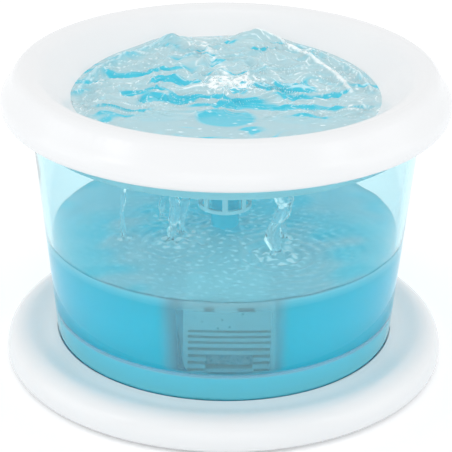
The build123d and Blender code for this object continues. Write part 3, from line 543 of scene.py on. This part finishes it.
# Rotor: ground alumina shaft, ivory and smooth, in a sintered ferrite magnet, dark and dull.
alumina = moulded("ground_alumina", "F1EDE4", "E8E2D6", 0.16, 0.5, 0.005, 1.76)
ferrite = moulded("sintered_ferrite", "3A3A3D", "2C2C2F", 0.5, 0.4, 0.03, 2.2)
# Filters: pale blue open-pored foam, its pores darkened with painted shade, and black grains held in fleece.
open_foam = cellular("reticulated_pu_foam", "E6F4F8", "9CCBDA", 1.6, 0.6, 0.9)
carbon_fleece = cellular("carbon_grains_in_fleece", "3A3A3A", "0C0C0C", 1.3, 0.4, 0.7)
# Water: cyan, milky with fine air in the tank and the dish, and nearly clear in the falls. In the dish,
# deep cyan painted light and shade lies on the skin where the tint attribute says. Bubbles and drops have
# a pale, shiny skin.
tank_dye = aired_water("dyed_tank_water", "CCF8FE", "24EEFF", "00FDFF", 3.0, 0.24, 0.5, 0.02)
dish_dye_and_painted_light = aired_water("moving_dish_water", "C6F6FE", "4CD0E8", "00FDFF", 3.0, 0.28, 0.57, 0.06)
fall_dye = aired_water("falling_water", "F2FBFD", "F2FBFD", "00FAFF", 6.0, 0.1, 0.0, 0.15)
air = aired_water("air_in_water", "F4FBFC", "F4FBFC", "FFFFFF", 0.0, 0.1)

FINISHES = {
    white_abs: ["base_ring", "top_ring"],
    tank_san: ["tank"],
    dish_san: ["dish", "dish_sleeve"],
    deep_san: ["nozzle_cap", "riser_tube"],
    pump_abs: ["pump_body", "impeller_cover", "impeller", "filter_box", "intake_grille", "flow_slider"],
    grey_epdm: ["foot_pads", "outlet_seal", "cable_gland", "rear_bush", "front_bush", "suction_cups"],
    silicon_steel: ["stator_core"],
    enamelled_copper: ["coil"],
    potting_resin: ["potting"],
    alumina: ["shaft"],
    ferrite: ["rotor_magnet"],
    open_foam: ["foam_pad"],
    carbon_fleece: ["carbon_pad"],
}
for finish, names in FINISHES.items():
    for name in names:
        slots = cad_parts[name].data.materials
        slots.clear()
        slots.append(finish)

water = make_dish_water()
water.data.materials.append(dish_dye_and_painted_light)
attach(water, "dish_unit")
store = make_tank_water()
store.data.materials.append(tank_dye)
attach(store, "stand")
for index, (place_x, place_y, size) in enumerate(STREAMS):
    fall = make_fall(index, place_x, place_y, size)
    fall.data.materials.append(fall_dye)
    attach(fall, "dish_unit")
bubbles = make_tank_bubbles()
bubbles.data.materials.append(air)
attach(bubbles, "stand")
froth = make_spray()
froth.data.materials.append(air)
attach(froth, "dish_unit")


# --- floor, light and camera ----------------------------------------------------------------------
def seen_directly(tree):
    """1 for rays from the camera or through gloss or glass, which show the background as plain white."""
    path = add(tree, "ShaderNodeLightPath")
    either = add(tree, "ShaderNodeMath", {0: path.outputs["Is Camera Ray"], 1: path.outputs["Is Glossy Ray"]},
                 operation="MAXIMUM")
    return add(tree, "ShaderNodeMath", {0: either.outputs[0], 1: path.outputs["Is Transmission Ray"]},
               operation="MAXIMUM").outputs[0]


FLOOR_REACH, FLOOR_HEIGHT = 6.0, -0.0002        # metres
floor_mesh = bpy.data.meshes.new("floor")
corners = [(x * FLOOR_REACH, y * FLOOR_REACH, FLOOR_HEIGHT) for x, y in ((-1, -1), (1, -1), (1, 1), (-1, 1))]
floor_mesh.from_pydata(corners, [], [(0, 1, 2, 3)])
floor = put("floor", floor_mesh)
paper = bpy.data.materials.new("pale_paper")
tree = bare_tree(paper)
matt = add(tree, "ShaderNodeBsdfDiffuse", {"Color": linear("F4F5F6")})
glow = add(tree, "ShaderNodeEmission", {"Color": linear("FFFFFF"), "Strength": 0.19})
lit = add(tree, "ShaderNodeAddShader", {0: matt.outputs[0], 1: glow.outputs[0]})
shown = add(tree, "ShaderNodeMixShader", {0: seen_directly(tree), 1: matt.outputs[0], 2: lit.outputs[0]})
add(tree, "ShaderNodeOutputMaterial", {"Surface": shown.outputs[0]})
floor_mesh.materials.append(paper)

scene = bpy.context.scene
world = bpy.data.worlds.new("studio")
scene.world = world
tree = bare_tree(world)
soft = add(tree, "ShaderNodeBackground", {"Color": linear("FFFFFF"), "Strength": 0.94})
white = add(tree, "ShaderNodeBackground", {"Color": linear("FFFFFF"), "Strength": 1.0})
both = add(tree, "ShaderNodeMixShader", {0: seen_directly(tree), 1: soft.outputs[0], 2: white.outputs[0]})
add(tree, "ShaderNodeOutputWorld", {"Surface": both.outputs[0]})

SOFTBOXES = {                       # place in metres, side in metres, watts
    "softbox_left": ((-1.1, -0.7, 0.9), 0.3, 0.7),
    "softbox_right": ((1.1, -0.7, 0.9), 0.3, 0.5),
    "softbox_above": ((0.0, 0.25, 1.5), 0.45, 0.5),
    "panel_front": ((0.0, -1.5, 0.3), 1.3, 3.2),
    "panel_left": ((-1.5, -0.3, 0.3), 1.2, 3.1),
    "panel_right": ((1.5, -0.3, 0.3), 1.2, 2.7),
}
for name, (place, side, watts) in SOFTBOXES.items():
    lamp = bpy.data.lights.new(name, "AREA")
    lamp.size = side
    lamp.energy = watts
    holder = put(name, lamp)
    holder.location = place
    holder.rotation_mode = "QUATERNION"
    holder.rotation_quaternion = (holder.location * -1).to_track_quat("-Z", "Y")

ELEVATION = math.radians(23.8273)
ROLL = math.radians(0.6311)
DISTANCE = 0.94844
LOOK_HEIGHT = 0.086
PICTURE = 452.0                     # the picture's side in pixels
FOCAL = 1810.25                     # focal length and optical centre in those pixels
CENTRE = (225.19, 197.85)
SENSOR = 36.0                       # sensor's width in millimetres
camera = put("camera", bpy.data.cameras.new("camera"))
camera.data.sensor_width = SENSOR
camera.data.lens = SENSOR * FOCAL / PICTURE
camera.data.shift_x = (PICTURE / 2 - CENTRE[0]) / PICTURE
camera.data.shift_y = (CENTRE[1] - PICTURE / 2) / PICTURE
level_right = np.array([1.0, 0.0, 0.0])
level_up = np.array([0.0, math.sin(ELEVATION), math.cos(ELEVATION)])
back = np.array([0.0, -math.cos(ELEVATION), math.sin(ELEVATION)])
right = math.cos(ROLL) * level_right + math.sin(ROLL) * level_up
up = math.cos(ROLL) * level_up - math.sin(ROLL) * level_right
pose = Matrix.Identity(4)
for row in range(3):
    pose[row][0], pose[row][1], pose[row][2] = right[row], up[row], back[row]
    pose[row][3] = DISTANCE * back[row] + (LOOK_HEIGHT if row == 2 else 0.0)
camera.matrix_world = pose
camera.data.clip_start = 0.01
camera.data.clip_end = 50.0
scene.camera = camera

scene.view_settings.view_transform = "Standard"
scene.cycles.max_bounces = 32       # light is turned back many times inside the walls and the water
scene.cycles.transmission_bounces = 32
scene.cycles.glossy_bounces = 24
scene.cycles.diffuse_bounces = 6
scene.cycles.blur_glossy = 0.0      # the filter would roughen glass for light that comes off a matt piece
